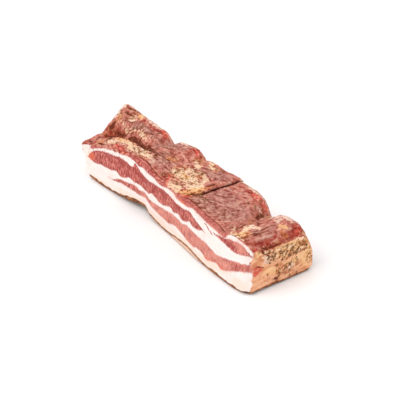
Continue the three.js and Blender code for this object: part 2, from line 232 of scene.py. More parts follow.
def station_shift(station, y):
    """How far a station leans along the slab at this place across: stations follow the seams."""
    lip_shift = LIP_LINE(y) - LIP_STATION
    seam_station = SEAM_LINE(0)
    seam_shift = SEAM_LINE(y) - seam_station
    before = (-FAR_SLANT * y * (1 - smooth(station, FAR_FOOT, FOLLOW_FAR_TO))
              + lip_shift * smooth(station, FOLLOW_LIP_FROM, LIP_STATION))
    between = lerp(lip_shift, seam_shift, smooth(station, LIP_STATION, seam_station))
    past = (seam_shift * (1 - smooth(station, seam_station, SEAM_TO))
            - NEAR_SLANT * y * smooth(station, SEAM_TO, NEAR_FACE - END_ROUND))
    return np.where(station < LIP_STATION, before, np.where(station < seam_station, between, past))


def far_lean(station, y, z):
    """How far a station leans with the overhang of the far end."""
    fade = 1 - smooth(station, FAR_FOOT, LEAN_TO)
    return -FAR_OVERHANG * np.minimum(z / FAR_RIM(y), 1) * fade


def far_face(y, z):
    return FAR_FOOT - FAR_SLANT * y - FAR_OVERHANG * np.minimum(z / FAR_RIM(y), 1)


def make_stations(pitch):
    """Stations along the slab: place, and how far along, down and dipping the lip's section is."""
    lip = np.linspace(0, LIP_STEPS, LIP_STEPS * 4 + 1)

    def run(start, end):
        return np.linspace(start, end, round((end - start) / pitch))

    before = run(FAR_FOOT, LIP_STATION - LIP_BACK)
    after = run(LIP_STATION + LIP_PITCH * (LIP_STEPS + 1), NEAR_FACE - END_ROUND)
    at = np.concatenate([before, LIP_STATION + LIP_PITCH * lip, after])
    along = np.concatenate([before - LIP_STATION, LIP_ALONG(lip), after - LIP_STATION])
    down = np.concatenate([0 * before, LIP_DOWN(lip), 0 * after + 1])
    dip = np.concatenate([0 * before, LIP_DIP(lip), 0 * after])
    return [column[:, None] for column in (at, along, down, dip)]


def top_points(stations, y, roundness=1.0):
    """Points of the top or the rounded back."""
    at, along, down, dip = stations
    x = at + station_shift(at, y)
    amount = LIP_AMOUNT(y)
    from_lip = x - LIP_LINE(y)
    rise = LIP_RISE * np.where(at < LIP_STATION, smooth(from_lip, *RISE_FROM), 1)
    recess = LIP_RECESS * np.exp(-np.maximum(from_lip, 0) / RECESS_LENGTH)
    z = top_height(x, y) + amount * (rise * (1 - down) - recess * down - dip)
    z = lerp(ROUND_FOOT, z, roundness)
    pushed = amount * (along - (at - LIP_STATION))
    return np.stack(np.broadcast_arrays(x + pushed + far_lean(at, y, z), y, z), axis=-1)


def rest_lift(x, y):
    """How far the underside is off the table."""
    inside = 1.0
    for place, reach in zip((x, y), REST_STRIP):
        inside = inside * between(place, *reach)
    return EDGE_LIFT * (1 - inside)


def make_sections(pitch):
    """Points of every section, from the foot of the cut face over the top and down the back."""
    stations = make_stations(pitch)
    at = stations[0]
    foot = RIND_LIFT(at)
    width = BACK_WIDTH(at + station_shift(at, CROWN_Y))
    round_start = ROUND_START(at)

    def steps(length, scale=1.0):
        return np.linspace(0, 1, round(length / pitch / scale))[None, :]

    def front(z):
        return cut_face(at + far_lean(at, 0, z))

    def floor(y, lift):
        across = (y - front(foot)) / (width - front(foot))
        z = lift + foot * smooth(1 - across, LIFT_ENDS, 1)
        x = at + far_lean(at, y, z) + station_shift(at, width) * across
        return np.stack(np.broadcast_arrays(x, y, z), axis=-1)

    edge = top_points(stations, front(FRONT_TOP(at)))[..., 2]
    z = lerp(foot + CUT_EDGE, edge - CUT_EDGE, steps(CUT_RUN))
    x = at + far_lean(at, 0, z)
    cut = np.stack([x, cut_face(x), z], axis=-1)
    arc = np.linspace(0, np.pi / 2, CUT_EDGE_STEPS)[None, 1:-1]
    upper = top_points(stations, front(edge) + CUT_EDGE * (1 - np.cos(arc)))
    upper[..., 2] -= CUT_EDGE * (1 - np.sin(arc))
    start = front(edge) + CUT_EDGE
    top = top_points(stations, lerp(start, round_start, steps(TOP_RUN)))
    quarter = steps(BACK_RUN, BACK_PITCH)[:, 1:] * np.pi / 2
    back = top_points(stations, lerp(round_start, width, np.sin(quarter)), np.cos(quarter))
    heel = np.linspace(0, np.pi / 2, HEEL_STEPS)[None, 1:]
    y = width - FOOT_ROUND * (1 - np.cos(heel))
    lift = rest_lift(at, y)
    under_heel = floor(y, lift + (ROUND_FOOT - lift) * (1 - np.sin(heel)))
    y = lerp(width - FOOT_ROUND, front(foot) + CUT_EDGE, steps(BACK_RUN, UNDER_PITCH)[:, 1:])
    under = floor(y, rest_lift(at, y))
    y = front(foot) + CUT_EDGE * (1 - np.sin(arc))
    toe = floor(y, EDGE_LIFT + CUT_EDGE * (1 - np.cos(arc)))
    return np.concatenate([cut, upper, top, back, under_heel, under, toe], axis=1)


def end_rings(section, face, outward, pitch):
    """Rings that close an end: rounded in from the last section, then flat, in to the middle."""
    middle = (section[:, 1:].min(0) + section[:, 1:].max(0)) / 2
    half = (section[:, 1:].max(0) - section[:, 1:].min(0)) / 2
    count = round(half.min() / pitch)
    rings = [(END_ROUND * part, 1) for part in END_INSETS]
    rings += [(END_ROUND, 1 - i / count) for i in range(count + 1)]
    made = []
    for inset, scale in rings:
        push = math.sqrt(END_ROUND ** 2 - (END_ROUND - inset) ** 2)
        yz = middle + (section[:, 1:] - middle) * (1 - inset / half) * scale
        made.append(np.column_stack([face(*yz.T) + outward * push, yz]))
    return np.array(made)


def closed_grid(rows):
    """Vertices and faces of a tube of rows whose first and last rows are single points."""
    count, around = rows.shape[:2]
    vertices = np.concatenate([rows[:1, 0], rows[1:-1].reshape(-1, 3), rows[-1:, 0]])
    grid = 1 + np.arange((count - 2) * around).reshape(count - 2, around)
    turned = np.roll(grid, -1, axis=1)
    faces = np.stack([grid[:-1], turned[:-1], turned[1:], grid[1:]], axis=-1).reshape(-1, 4).tolist()
    faces += [[0, b, a] for a, b in zip(grid[0], turned[0])]
    last = len(vertices) - 1
    faces += [[last, a, b] for a, b in zip(grid[-1], turned[-1])]
    return vertices, [[int(corner) for corner in reversed(face)] for face in faces]


# ---------------------------------------------------------------- what shows where

class Layer:
    """A layer of lean on the cut face: its lower and upper edge, its ends, and how it tapers."""

    def __init__(self, bottom, top, ends, taper):
        self.bottom, self.top, self.ends, self.taper = bottom, top, ends, taper

    def depth(self, x, z):
        """How deep in the layer a point is, in mm, below zero outside it."""
        from_end = np.minimum(x - self.ends[0], self.ends[1] - x) / self.taper
        return np.minimum.reduce([z - self.bottom(x), self.top(x) - z, from_end])

    def browned(self, x, z, depth, width):
        """1 at this depth below the upper edge, where the lean is darkest."""
        return bump((self.top(x) - z - depth) / width)


RUNS_ON = 999  # the layer has no edge or end here

UPPER = Layer(
    Curve([-7, 34], [10, 40], [26, 45.6], [46, 49.1], [64, 51.1], [71, 49.6], [77, 46.7], [83, 47.8],
          [89, 46.3], [99, 47.7], [107, 47.4], [119, 45.5], [132, 48.1], [143, 48.4], [148, 45.7],
          [168, 46.9], [178, 49.5], [198, 46.8], [217, 45], [225, 44], [230, 45], [233.5, 50], [255, 52]),
    Curve([0, RUNS_ON], [1, RUNS_ON]),
    (-4, RUNS_ON), 4)
THICK = Layer(
    Curve([-10, 23.2], [1, 21.5], [13, 23.5], [32, 25.2], [41, 27.4], [47, 24.7], [56, 26.6], [63, 29.4],
          [70, 27.8], [79, 27.5], [85, 25.9], [96, 27], [102, 29.6], [119, 26.6], [137, 31.1], [141, 28.7],
          [151, 31.1], [157, 28.6], [165, 30.3], [172, 33.7], [178, 31.7], [185, 32.3], [197, 35.7]),
    Curve([-10, 23.2], [-6, 28], [4, 34.9], [25, 41.1], [38, 42.9], [48, 45], [57, 44.7], [68, 42.7],
          [72, 48.1], [77, 44.4], [81, 41.6], [89, 39.9], [107, 41.7], [119, 42.4], [126, 43.1],
          [151, 40.6], [160, 41], [173, 43.8], [179, 41.6], [192, 37.9], [197, 35.7]),
    (-11, 197), 2)
THIN = Layer(
    Curve([29, 15.3], [40, 16.2], [52, 18.2], [70, 17.8], [76, 16.7], [88, 18.1], [102, 15.4], [132, 12.8],
          [145, 16.3], [169, 12.2], [178, 11.6], [185, 13.7], [193, 12.8], [200, 9.6], [210, 11.8],
          [216, 13.4], [223, 11.2], [243, 18.3], [254, 22.3], [262, 22.8]),
    Curve([28, 15], [48, 21.5], [59, 22.6], [70, 24.5], [78, 22.2], [85, 22.6], [101, 21.3], [132, 24.1],
          [142, 25.9], [151, 25.7], [157, 24.5], [166, 27.1], [189, 25.8], [198, 25.6], [206, 23.8],
          [217, 22.1], [229, 24.4], [243, 27.6], [254, 29.6], [262, 28.9]),
    (27, RUNS_ON), 2)
NEAR = Layer(
    Curve([198, 42], [233, 38], [241, 36.6], [256, 38.4], [260, 37.7]),
    Curve([198, 43], [214, 41.4], [220, 42.7], [229, 44], [235, 46], [247, 47.8], [252, 47], [260, 38.8]),
    (214, RUNS_ON), 3)

# Patches of the cut face: (along, up, half length, half height, turn in degrees if it has one).
FAT_BRANCH = [(98, 46.5, 13, 0.7, -6), (91, 44.5, 8, 0.8, -20), (78, 45.5, 9, 0.6, -30)]
LEAN_SPECKS = [(203, 42, 3, 0.8, -35), (208, 39.5, 2.6, 0.8, -30), (213, 41, 2, 0.6, -30),
               (199, 44, 2.4, 0.6)]
DEEP_LEAN = [(52, 41, 9, 4, 20), (86, 37, 12, 3.4, -18), (60, 33, 6, 3, 60), (124, 38, 9, 3, -10),
             (150, 37, 8, 3, 10), (238, 41.5, 9, 2.4, 5)]
WARM = [(-4, 26, 8, 5, 30), (160, 47, 10, 2), (10, 4, 20, 3, 4), (62, 10, 28, 3, 4), (110, 7, 26, 3.6, -4),
        (162, 8, 40, 3), (206, 8, 28, 4.4, 8), (248, 8, 10, 6)]
PINK_FAT = [(250, 45, 9, 5, -30), (236, 47, 7, 2, 10), (205, 46, 24, 1.6, -2), (140, 46, 12, 3),
            (110, 10, 30, 5)]

# Patches of the crust, for each thing that shows on it: how much of it the back and the far end have,
# its patches on top (along, across, half length, half width, turn in degrees if it has one), and its
# patches on the near end (across, up, half width, half height, turn).
PATCHES = {
    "fat": (0.35, [
        (-1, 50, 6, 3), (14, 15, 8, 6, 20), (31, 20, 13, 4, -10), (56, 16, 14, 6, -4), (74, 16, 9, 4, -6),
        (10, 41, 22, 0.8), (34, 39, 14, 0.7, -15), (119, 43, 8, 3, -28), (151, 18, 10, 8),
        (136, 6, 11, 4.5, -12), (121, 22, 10, 5.5, -25), (137, 21, 9, 6.5), (143, 33, 12, 2, -25),
        (128, 52, 7, 3, -30), (111, 22, 4, 3), (127, 31, 8, 4), (234, 18.5, 5.5, 4, 20), (235, 9, 2.6, 6),
        (225, 6, 6, 1.4, -35), (239, -1, 8, 1.6)
    ], [
        (24, 36, 10, 1.8, -18), (40, 35, 10, 2, -5), (55, 36, 8, 2, -10), (34, 30, 12, 1.6, -15),
        (18, 31, 6, 2, -25), (50, 26, 9, 1.6, -5), (8, 38, 4, 1.4, -10)
    ]),
    # Frost: pale dried fat, and painted highlight along the back's crest, the far end's rim and the last
    # muscle's top.
    "frost": (0.22, [
        (-25.5, 42, 2, 8), (-26, 54, 2.5, 4), (0, 59, 26, 2), (26, 58, 20, 2.4, -2), (76, 58, 8, 3),
        (180, 59, 20, 2), (224, 51, 9, 6, -40), (238, 53, 8, 5), (236, 44, 9, 2, -35), (234, 19, 4, 3),
        (208, 49, 1, 5, -20)
    ], [
        (50, 49.5, 9, 2.4), (17, 28.5, 4, 2.4, -10), (43, 14, 4, 2)
    ]),
    "gold": (0.27, [
        (158, 14, 4, 6), (-20, 46, 5, 1.6, -30), (4, 55, 5, 2), (153, 6, 5, 2.4, 35), (238, 4, 4, 3),
        (18, 25, 13, 3.6, -6), (248.5, 42, 2.4, 3), (128, 23, 6, 3, -20)
    ], [
        (44, 32, 18, 6, -8), (62, 17, 6, 11), (50, 18, 12, 4, -5), (22, 16, 10, 3, -20),
        (6, 39, 5, 2, -10), (60, 33, 4, 5)
    ]),
    "amber": (0.33, [
        (-17, 43, 6, 2.6, -30), (-20, 30, 3, 6), (2, 9, 8, 4, -30), (24, 26, 19, 4, -5),
        (40, 20, 10, 4, -20), (23, 15, 3.4, 2, -30), (110, 50, 4, 7, 20), (121, 22, 13, 8, -15),
        (134, 31, 7, 5), (156, 8, 8, 3, 48), (130, 52, 8, 3, -25), (222, 28, 5, 5, 30),
        (215, 52, 3, 7, 25), (240, 5, 6, 5), (152, 1, 7, 2.5), (96, 30, 6, 4)
    ], [
        (39.5, 43, 2.6, 4.4), (59, 4, 6, 1.6, -5), (8, 35, 7, 3, -30), (14, 21, 9, 1.6, -15),
        (5, 30, 4, 4), (30, 19, 9, 2, -20)
    ]),
    "red": (0.27, [
        (-12, 5, 8, 5, -10), (-14, 24, 8, 4, -30), (-11, 34, 14, 4, 16), (34, 53, 12, 3), (45, 54, 5, 4),
        (36, 8.4, 12, 3.8, -6), (56, 5, 16, 2.4, -2), (100, 54, 8, 4), (95, 6, 18, 2.6),
        (116, 10, 9, 3.4, -38), (193, 52, 13, 4), (255, 20, 3.2, 19), (252, 54, 4, 9),
        (156, 2, 9, 3.6, 15), (10, 56, 6, 2.4)
    ], [
        (20, 42.3, 18, 3.6, -3), (52, 42.6, 9.5, 4, -6), (3.4, 22.3, 6, 4.4, -8)
    ]),
    "vivid": (0.07, [
        (197, 53, 9, 2.4), (203.5, 56, 7, 1.5, -63), (35, 8.8, 11, 2.8, -6), (46, 56, 4, 2.4, -50),
        (157, 3, 6, 1.8, 30), (-12, 5, 4, 2), (56, 3.6, 9, 1), (120, 8, 10, 1.6, -40),
        (102, 54, 5, 2, -30), (252, 54, 2.6, 5)
    ], [
        (3.8, 22.2, 7, 4.6, -12), (56, 41.6, 5, 2.6), (3, 44, 4, 1.6)
    ]),
    # Smoke: dark smoked streaks; the painted crease shade joins them in surface_fields.
    "smoke": (0.27, [
        (-13, 56, 7, 1.2, 8), (-9, 51, 9, 1, 5), (-20, 48, 3, 1.4, -20), (-19, 36, 5, 2, 60),
        (-7, 36.6, 14, 1.2, 12), (-15, 31, 9, 1.2, 30), (2, 20, 9, 2.2, -55), (-16, 17, 6, 1.6, -50),
        (-12, 6, 5, 2.4, -20), (6, 6, 4, 2, -20), (14, 5, 3, 1.4, -20), (23, 15, 2.4, 1.3, -30),
        (24, 8.4, 3, 1.1), (77, 24, 8, 1.8, -25), (61, 29.5, 12, 2.2, -12), (210.5, 45, 11, 1, -68),
        (226.5, 15, 6, 1.2, -50), (231, 27.5, 5, 1.2, -35), (165.5, 28, 1.4, 12), (136, 33, 1.8, 3, 20),
        (160, 29, 1.4, 5), (256, 18, 1.8, 16), (247, 16, 1.3, 9), (243, 25, 1.1, 7, 5),
        (111, 50, 1.2, 3, 20), (245, 12, 1.2, 4, -10), (150, 40, 5, 0.9, -40)
    ], [
        (8, 25.4, 6, 0.8, -22), (27, 7, 3.6, 2, -8), (16, 2, 26, 2.2), (40, 1.6, 18, 1),
        (17, 40.6, 10, 0.7, -5), (54, 39.4, 7, 0.8), (12, 38.6, 1.4, 2.4, 40), (18, 33, 7, 0.8, -35),
        (31, 12, 3, 0.8, -50)
    ]),
    "mauve": (0.37, [
        (-26, 54, 4, 5), (22, 46, 26, 5), (74, 47, 14, 10), (62, 44, 8, 14), (146, 45, 18, 9),
        (182, 24, 20, 18), (204, 20, 12, 16), (245, 20, 6, 17), (92, 22, 14, 12), (60, 56, 12, 6),
        (183, 5, 26, 5)
    ], [
        (20, 48, 16, 3), (42, 14, 8, 5), (26, 7, 6, 3), (55, 7.4, 5, 1.4, -10), (17, 29, 5, 3)
    ]),
    "herbs": (0.39, [
        (128, 25, 24, 17), (24, 43, 30, 5), (90, 28, 13, 9), (66, 15, 14, 7), (-12, 50, 14, 8),
        (204, 14, 9, 9), (209, 49, 4, 8, 15), (224, 7, 8, 6), (178, 8, 20, 7), (110, 48, 6, 9),
        (240, 2, 10, 5), (140, 52, 8, 5), (72, 42, 12, 8)
    ], [
        (40, 30, 21, 7, -8), (40, 14, 11, 6), (22, 33, 10, 5, -30), (60, 29, 6, 9), (66, 14, 4, 6)
    ]),
}

# Height of the rind's upper edge on the cut face, and where the rind curls under and is painted pale with
# light reflected from the table.
RIND_LINE = Curve([-14, 4], [0, 5], [10, 4], [40, 4.6], [72, 10.4], [85, 10.2], [95, 7.4], [105, 6],
                  [120, 3.9], [128, 3.9], [160, 7], [170, 7], [202, 3.4], [213, 4.2], [232, 3], [240, 3.8],
                  [246, 2.6], [262, 3.6])
TABLE_LIT_RIND = (84, 94, 196, 210)  # along: it starts, is full, fades and ends
UNDERSIDE = -0.8  # what faces down more than this is rind
# How far the fresh cut reaches over the top edge.
CUT_BAND = Curve([-20, 0.3], [55, 0.3], [76, 3.6], [90, 3.2], [105, 3.6], [118, 3.4], [128, 0.5],
                 [147, 0.5], [158, 2], [168, 4.1], [210, 4.5], [222, 3.8], [230, 1.2], [240, 3.1],
                 [250, 2.4])
CUT_TOP, CUT_BELOW = 6, 2.5  # CUT_BAND holds this far down, and this is the reach below that
CORNER_WANDER = 2.8  # at the near corner the cut's edge wanders by this much
WRINKLE_ALONG, WRINKLE_ACROSS = 0.3, 0.6  # wrinkles of the flap, in radians for each mm

# Fibres run along the slab at these angles on top, in degrees, from one muscle to the next.
FIBRE_TURNS = Curve([-20, 20], [40, 5], [56, 10], [66, 24], [120, 16], [160, 14], [215, 22], [228, 80],
                    [250, 88])
CUT_FIBRES, END_FIBRES, BACK_FIBRES, FAR_FIBRES = 78, 8, 15, 30  # and at these on the sides
FIBRE_STRETCH = 3.4
# How squarely a surface has to face out to start to be, and to be, one of the sides.
FACES_NEAR, FACES_FAR, FACES_BACK = (0.4, 0.75), (0.5, 0.8), (0.55, 0.85)
NEAR_ZONE, FAR_ZONE = NEAR_FACE - 10, 20  # past these along the slab, that side is an end
SMOKE_WANDERS = 0.45  # streaks of smoke are less ragged than the other patches, by this factor
RIDGE_ALONG = 250.8  # a pale ridge runs across the last muscle here


def cut_lean(x, z):
    """How deep in a layer of lean a point of the cut face is, in mm, below zero in the fat."""
    lean = np.maximum.reduce([layer.depth(x, z) for layer in (UPPER, THICK, THIN, NEAR)])
    lean = lerp(lean, -1, smooth(cover(FAT_BRANCH, x, z), 0.35, 0.65))
    return np.maximum(lean, 4 * (cover(LEAN_SPECKS, x, z) - 0.5))


def cut_depth(points):
    """How far inside the fresh cut a point is, in mm. Its edge wanders at the near corner."""
    x, y, z = points.T
    front = cut_face(x)
    crust_from = front + np.where(z > FRONT_TOP(x) - CUT_TOP, CUT_BAND(x), CUT_BELOW)
    corner = np.minimum(crust_from, CORNER_WANDER * lumps(points, 9, 4.2) - 0.4)
    return np.where(x > NEAR_FACE - CORNER_ROUND - 1, 0.5 * (corner - y), crust_from - y)


def rind_depth(points, normals):
    """How deep in the rind a point is, in mm: the underside, and a thin line up the cut face."""
    up = points[:, 2] + 0.8 * lumps(points, 7, 2.9)
    return np.where(normals[:, 2] < UNDERSIDE, 3, RIND_LINE(points[:, 0]) - up)


def cut_fields(points, normals):
    """What shows on the cut face and on the rind."""
    x, y, z = points.T
    pale = smooth(THIN.top(x) + 0.5 - z, 0, 1) * smooth(x, 60, 90) * (z > THIN.bottom(x) - 1.5)
    return {
        "cut": cut_depth(points),
        "lean": cut_lean(x, z),
        "rind": rind_depth(points, normals),
        "curl": between(x, *TABLE_LIT_RIND) * (normals[:, 2] > UNDERSIDE),
        "deep": np.maximum.reduce([
            cover(DEEP_LEAN, x, z), 0.9 * THICK.browned(x, z, 0.8, 1.4), 0.9 * NEAR.browned(x, z, 0.8, 1.2),
            0.5 * THIN.browned(x, z, 0.6, 1)]),
        "warm": cover(WARM, x, z),
        "pale": np.maximum(pale, cover(PINK_FAT, x, z)),
    }


def ragged(points, seed):
    """The points moved about by a few mm, so that patches get ragged outlines."""
    moved = [2.6 * lumps(points, 8, seed + i) + 1.7 * lumps(points, 3.2, seed + 5 + i) for i in range(3)]
    return points + np.column_stack(moved)


def surface_fields(points, normals):
    """What shows at each point of the slab: named values for the materials to read."""
    x, y, z = points.T
    on_end = smooth(normals[:, 0], *FACES_NEAR) * (x > NEAR_ZONE)
    on_far = smooth(-normals[:, 0], *FACES_FAR) * (x < FAR_ZONE)
    on_back = smooth(normals[:, 1], *FACES_BACK) * (1 - on_end)
    on_top = (1 - on_end) * (1 - on_far) * (1 - on_back)
    fields = cut_fields(points, normals)
    warped = ragged(points, 3.3)
    for i, (kind, (level, top, end)) in enumerate(PATCHES.items()):
        u, v, w = (lerp(points, warped, SMOKE_WANDERS) if kind == "smoke" else warped).T
        away = (1 - on_end - on_top) * (level + 0.5 * lumps(points, 22, 1.7 * i))
        fields[kind] = on_top * cover(top, u, v) + on_end * cover(end, v, w) + away
    # Painted shade of the creases is added to the smoke field.
    fields["smoke"] = np.maximum(fields["smoke"], crease_shade_and_cut_edge_line(x, y, z) * on_top)
    fields["fat"] -= lip_rim(x, y)
    fields["amber"] = np.maximum(fields["amber"], lip_rim(x, y))
    back_tan = on_back * (0.5 + 0.8 * lumps(points, 24, 8.1))
    fields["tan"] = np.clip(on_end * (z < 40 - 0.05 * y) + 0.8 * on_far + back_tan, 0, 1)
    grain = 0.9 * lumps(fibre_coordinates(points, normals), 2.6, 3.1) + 0.7 * lumps(points, 3.4, 9.3)
    ridge = bump((x - RIDGE_ALONG) / 0.9) * between(y, 3, 10, 28, 38)
    fields["tone"] = grain + 0.8 * wrinkles(points) + ridge
    return fields


def wrinkles(points):
    """Wrinkles of the flap of fat, from -1 to 1."""
    x, y = points[:, 0], points[:, 1]
    flap = between(x, -2, 8, 70, 80) * (1 - smooth(y - FLAP_CREASE(x), -3, 0))
    bent = points + 2.2 * np.column_stack([lumps(points, 9, 1.1), lumps(points, 9, 2.2), 0 * x])
    valley = 1 - np.abs(np.sin(bent[:, 0] * WRINKLE_ALONG + bent[:, 1] * WRINKLE_ACROSS))
    return flap * (0.35 - 1.35 * valley ** 3)


def crease_shade_and_cut_edge_line(x, y, z):
    """Painted shade in the flap's crease, under the lip and in the last valley, and a dark line where the
    fresh cut ends.
    """
    crease = 1.1 * bump((y - FLAP_CREASE(x) - 1.5) / 1.8) * between(x, -16, -6, 68, 84)
    sunk = 1 - smooth(z - top_height(x, y), -2.8, -1.6)
    lip = bump((x - LIP_LINE(y) - 0.6) / 2.2) * sunk * smooth(LIP_AMOUNT(y), 0.1, 0.5)
    seam = 0.66 * bump((x - SEAM_LINE(y)) / 1.3) * smooth(y, 24, 34)
    band = CUT_BAND(x)
    edge = 0.95 * bump((y - cut_face(x) - band - 0.5) / 0.9) * smooth(band, 1, 2.6) * (x < 240)
    return np.maximum.reduce([crease, lip, seam, edge])


def lip_rim(x, y):
    """The browned rim of the patch that hangs over the next muscle."""
    return bump((x - LIP_LINE(y) + 0.4) / 1.5) * between(y, 1, 6, 24, 34)


def fibre_coordinates(points, normals):
    """Coordinates for the grain of the meat, in mm: across the fibres, and squeezed along them."""
    x, y, z = points.T
    turn = np.radians(FIBRE_TURNS(x))
    across, along, depth = x * np.sin(turn) - y * np.cos(turn), x * np.cos(turn) + y * np.sin(turn), z
    sides = [
        (-normals[:, 1] > 0.6, CUT_FIBRES, x, z, y),
        ((normals[:, 0] > 0.6) & (x > NEAR_FACE - 8), END_FIBRES, y, z, x),
        (normals[:, 1] > 0.75, BACK_FIBRES, x, z, y),
        (-normals[:, 0] > 0.7, FAR_FIBRES, y, z, x),
    ]
    for where, degrees, u, v, w in sides:
        c, s = math.cos(math.radians(degrees)), math.sin(math.radians(degrees))
        across = np.where(where, u * s - v * c, across)
        along = np.where(where, u * c + v * s, along)
        depth = np.where(where, w, depth)
    return np.column_stack([across, along / FIBRE_STRETCH, depth])


def relief(points, normals, fields):
    """Height of the fine shape over the smooth slab, in mm."""
    x, y, z = points.T
    on_cut = smooth(fields["cut"], -0.6, 0.8)
    on_rind = smooth(-normals[:, 2], 0.3, 0.7)
    crust = (1 - on_cut) * (1 - on_rind) * smooth(z, 1, 6)
    swell = 0.8 * lumps(points, 17) + 0.5 * lumps(points, 6, 7.7)
    grain = 0.34 * fields["tone"] + 0.16 * lumps(points, 2.1, 6.1)
    crumbs = smooth(lumps(points, 2.2, 6.6), 0.0, 0.5) * smooth(fields["herbs"], 0.3, 0.6)
    rough = swell + grain + 0.45 * crumbs + 0.8 * wrinkles(points)
    cut = 0.12 * smooth(fields["lean"], -0.6, 0.6) + 0.12 * lumps(points, 5, 8.8)
    return crust * rough + on_cut * cut * (1 - on_rind)


# ---------------------------------------------------------------- settings

def paint(name, text, red, green, blue):
    """A colour setting, given as the sRGB numbers of a colour picker."""
    def linear(part):
        part /= 255
        return part / 12.92 if part <= 0.04045 else ((part + 0.055) / 1.055) ** 2.4
    return bpy.props.FloatVectorProperty(
        name=name, description=text, subtype="COLOR", size=3, min=0, max=1,
        default=(linear(red), linear(green), linear(blue)))


def number(name, text, default, **limits):
    return bpy.props.FloatProperty(name=name, description=text, default=default, **limits)


class CutColours(bpy.types.PropertyGroup):
    """Colours of the fresh cut."""
    lean: paint("Lean", "Fresh lean meat", 214, 124, 112)
    deep: paint("Deep lean", "Darkest lean, near its upper edges", 152, 58, 54)
    pale: paint("Pale lean", "Lean with fat between its fibres", 232, 160, 142)
    warm: paint("Warm lean", "Lean where smoke has reached it", 222, 106, 74)
    fat: paint("Fat", "Fresh back fat", 243, 229, 223)
    veined_fat: paint("Veined fat", "Fat with a little lean in it", 238, 206, 198)
    smoked_fat: paint("Smoked fat", "Fat near the rind", 240, 210, 188)
    rind: paint("Rind", "Smoked rind", 168, 106, 62)
    pale_rind: paint("Pale rind", "Rind that curls under and catches light from the table", 232, 196, 176)
    dark_rind: paint("Dark rind", "Darkest rind", 104, 56, 32)


class CrustColours(bpy.types.PropertyGroup):
    """Colours of the smoked outside."""
    meat: paint("Meat", "Smoked, dried meat", 200, 120, 104)
    mauve: paint("Mauve", "Meat that dried without colour", 178, 118, 108)
    red: paint("Red", "Moist, bare meat", 165, 58, 43)
    amber: paint("Amber", "Fat and meat browned by smoke", 208, 128, 80)
    fat: paint("Fat", "Fat that shows through the crust", 244, 207, 172)
    # Partly pale dried fat, partly painted highlight on crests and rims.
    frost: paint("Frost", "Pale, dried fat and meat", 242, 208, 188)
    gold: paint("Gold", "Fat that the smoke turned golden", 246, 192, 134)
    tan: paint("Tan", "Smoked fat of the end", 238, 173, 132)
    vivid: paint("Vivid red", "Bare meat that stayed bright", 224, 97, 78)
    # Also the colour of painted shade in the creases, under the lip and in the crust's pits.
    smoke: paint("Smoke", "Creases and the darkest crust", 98, 38, 20)
    # Laid round the smoke patches and round the painted crease shade.
    ember: paint("Ember", "Browned crust around the creases", 168, 90, 54)
    herb: paint("Herb", "Dried herbs and pepper in the crust", 120, 76, 36)
    # Partly pale flecks of the crust, partly painted highlight on its raised tips.
    tip_fleck_and_highlight: paint("Tips", "Pale tips of the crust, which tint every colour", 255, 222, 196)
    # Painted shade: this colour is multiplied into the crust's low spots, its pits.
    pit_shade: paint("Pits", "Shade of the pits in the crust, which multiplies every colour", 188, 150, 132)


class SlabSizes(bpy.types.PropertyGroup):
    """Sizes of the slab and its spices."""
    pitch: number("Mesh pitch", "Distance between vertices", 0.8 * MM, unit="LENGTH", min=0.6 * MM,
                  max=3 * MM)
    herb_density: number("Herb flakes", "Flakes on each square metre of the most herbed crust", 160000,
                         min=0)
    herb_size: number("Herb flake length", "Length of the largest herb flake", 1.5 * MM, unit="LENGTH")
    crumb_density: number("Spice crumbs", "Crumbs on each square metre of the most herbed crust", 120000,
                          min=0)
    crumb_size: number("Crumb size", "Width of the largest crumb", 1.1 * MM, unit="LENGTH")
    seed: bpy.props.IntProperty(name="Seed", description="Seed of the scattered spices", default=1907)


class StudioSettings(bpy.types.PropertyGroup):
    """Camera and light."""
    azimuth: number("Azimuth", "Direction of the camera round the slab", math.radians(54.903),
                    subtype="ANGLE")
    elevation: number("Elevation", "Height of the camera above the horizon", math.radians(27.986),
                      subtype="ANGLE")
    distance: number("Distance", "From the camera to its target", 1.288, unit="LENGTH")
    target: bpy.props.FloatVectorProperty(
        name="Target", description="Where the camera looks", default=(0.00907, 0.00835, 0.02116),
        subtype="TRANSLATION")
    lens: number("Focal length", "Focal length in mm on a 36 mm sensor", 125.05)
    sky: number("Fill", "Strength of the light from all sides", 0.9)
    key: number("Key light", "Power of the large soft light", 14, subtype="POWER")


# ---------------------------------------------------------------- shader nodes

class Socket:
    """A socket of a node tree. Arithmetic on it adds Math nodes."""

    def __init__(self, tree, socket):
        self.tree, self.socket = tree, socket

    def __add__(self, other):
        return self.tree.math("ADD", self, other)

    def __sub__(self, other):
        return self.tree.math("SUBTRACT", self, other)

    def __mul__(self, other):
        return self.tree.math("MULTIPLY", self, other)

    def __rsub__(self, other):
        return self.tree.math("SUBTRACT", other, self)

    __radd__, __rmul__ = __add__, __mul__


class Tree:
    """A tree of shader or geometry nodes."""

    def __init__(self, tree):
        self.nodes, self.links = tree.nodes, tree.links

    def node(self, kind, settings=None, values=None, out=0):
        """Adds a node: its settings first, then the values or links of its sockets."""
        node = self.nodes.new(kind)
        for key, value in (settings or {}).items():
            setattr(node, key, value)
        for key, value in (values or {}).items():
            if isinstance(value, Socket):
                self.links.new(value.socket, node.inputs[key])
            else:
                node.inputs[key].default_value = value
        return Socket(self, node.outputs[out]) if node.outputs else None

    def math(self, operation, a, b):
        return self.node("ShaderNodeMath", {"operation": operation}, {0: a, 1: b})

    def step(self, value, low, high):
        """0 where value is below low, 1 where it is above high."""
        return self.node("ShaderNodeMapRange", {"interpolation_type": "SMOOTHSTEP"},
                         {"Value": value, "From Min": low, "From Max": high})


